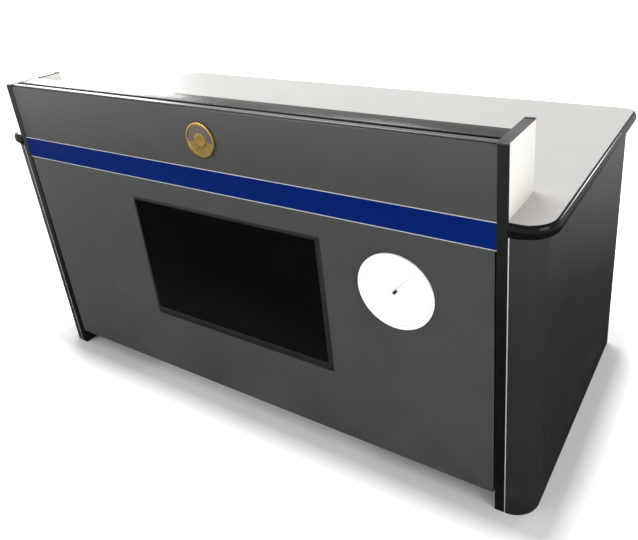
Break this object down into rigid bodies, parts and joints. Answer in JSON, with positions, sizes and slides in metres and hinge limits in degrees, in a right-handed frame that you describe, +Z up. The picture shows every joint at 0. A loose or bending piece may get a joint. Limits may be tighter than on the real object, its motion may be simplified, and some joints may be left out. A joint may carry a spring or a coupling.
{
  "type": "service counter desk",
  "caption": "Free-standing service counter with a raised front carrying a black screen and a round dial, a worktop with half-round edging, a drawer pedestal and a door cabinet.",
  "frame": {"origin": "on the floor, under the middle of the counter's outer box", "axes": "+X along the counter, to the right as a customer facing it sees it; +Y from the customer's side to the operator's side; +Z up"},
  "size_m": [1.719, 0.8094, 0.92],
  "materials": {
    "front_laminate": "satin",
    "blue_stripe": "satin",
    "silver_trim": "brushed",
    "black_profile": "satin",
    "grey_cap": "satin",
    "cream_laminate": "laminated, matt",
    "worktop_laminate": "laminated, fine matt texture",
    "black_edging": "gloss",
    "black_plastic": "fine texture",
    "side_laminate": "laminated, satin",
    "carcass_board": "melamine, matt",
    "kick_board": "melamine, matt",
    "zinc_steel": "zinc plated",
    "front_board": "laminated, satin",
    "tray_board": "melamine, matt",
    "satin_handle": "satin",
    "chrome_lock": "polished",
    "bezel_plastic": "semi gloss",
    "screen_glass": "polished black glass front",
    "monitor_shell": "fine texture",
    "dial_white": "gloss",
    "dial_paper": "matt",
    "hand_white": "white lacquer",
    "hub_dark": "matt",
    "emblem_brass": "satin with blue enamel"
  },
  "bodies": {
    "counter": {"front_upper_panel": "front_laminate", "front_lower_panel": "front_laminate", "front_stripe_panel": "blue_stripe", "stripe_trims": "silver_trim", "riser_front_lip": "silver_trim", "side_light_strips": "silver_trim", "return_end_trims": "silver_trim", "left_corner_post": "black_profile", "right_corner_post": "black_profile", "riser_channel": "black_profile", "front_cross_rails": "black_profile", "cable_tray": "black_profile", "riser_top_cap": "grey_cap", "return_caps": "grey_cap", "riser_back_panel": "cream_laminate", "left_return_panel": "cream_laminate", "right_return_panel": "cream_laminate", "worktop_board": "worktop_laminate", "worktop_edging": "black_edging", "grommet_rings": "black_plastic", "return_cap_ends": "black_plastic", "left_side_panel": "side_laminate", "right_side_panel": "side_laminate", "left_inner_side": "carcass_board", "right_inner_side": "carcass_board", "pedestal_base_boards": "carcass_board", "pedestal_back_boards": "carcass_board", "cabinet_shelf": "carcass_board", "pedestal_plinths": "kick_board", "levelling_feet": "zinc_steel", "drawer_slides": "zinc_steel", "body_hinge_leaves": "zinc_steel", "monitor_bracket": "zinc_steel", "display_bezel": "bezel_plastic", "display_glass": "screen_glass", "monitor_body": "monitor_shell", "dial_rim": "dial_white", "dial_face": "dial_paper", "dial_movement": "hub_dark", "emblem_plate": "emblem_brass"},
    "drawer_1": {"drawer_1_front": "front_board", "drawer_1_tray": "tray_board", "drawer_1_handle": "satin_handle", "drawer_1_runners": "zinc_steel"},
    "drawer_2": {"drawer_2_front": "front_board", "drawer_2_tray": "tray_board", "drawer_2_handle": "satin_handle", "drawer_2_runners": "zinc_steel"},
    "drawer_3": {"drawer_3_front": "front_board", "drawer_3_tray": "tray_board", "drawer_3_handle": "satin_handle", "drawer_3_runners": "zinc_steel"},
    "drawer_lock": {"drawer_lock": "chrome_lock"},
    "door": {"door_panel": "front_board", "door_handle": "satin_handle", "door_hinge_leaves": "zinc_steel"},
    "door_lock": {"door_lock": "chrome_lock"},
    "hour_hand": {"hour_hand": "hand_white"},
    "minute_hand": {"minute_hand": "hand_white", "dial_hub_cap": "hub_dark"}
  },
  "joints": [
    {"name": "drawer_1_slide", "type": "slide", "parent": "counter", "child": "drawer_1", "axis": [0, 1, 0], "range_m": [0, 0.4]},
    {"name": "drawer_2_slide", "type": "slide", "parent": "counter", "child": "drawer_2", "axis": [0, 1, 0], "range_m": [0, 0.4]},
    {"name": "drawer_3_slide", "type": "slide", "parent": "counter", "child": "drawer_3", "axis": [0, 1, 0], "range_m": [0, 0.4]},
    {"name": "drawer_lock_turn", "type": "hinge", "parent": "drawer_1", "child": "drawer_lock", "pos_m": [-0.8, 0.34325, 0.646], "axis": [0, 1, 0], "range_deg": [0, 90]},
    {"name": "door_hinge", "type": "hinge", "parent": "counter", "child": "door", "pos_m": [0.822, 0.35725, 0.394], "axis": [0, 0, -1], "range_deg": [0, 110]},
    {"name": "door_lock_turn", "type": "hinge", "parent": "door", "child": "door_lock", "pos_m": [0.402, 0.34325, 0.6], "axis": [0, 1, 0], "range_deg": [0, 90]},
    {"name": "minute_hand_turn", "type": "hinge", "parent": "counter", "child": "minute_hand", "pos_m": [0.518, -0.40125, 0.5435], "axis": [0, -1, 0], "continuous": true},
    {"name": "hour_hand_turn", "type": "hinge", "parent": "counter", "child": "hour_hand", "pos_m": [0.518, -0.40125, 0.5435], "axis": [0, -1, 0], "continuous": true}
  ],
  "couplings": [
    {"joint": "hour_hand_turn", "follows": "minute_hand_turn", "ratio": 0.083333}
  ]
}
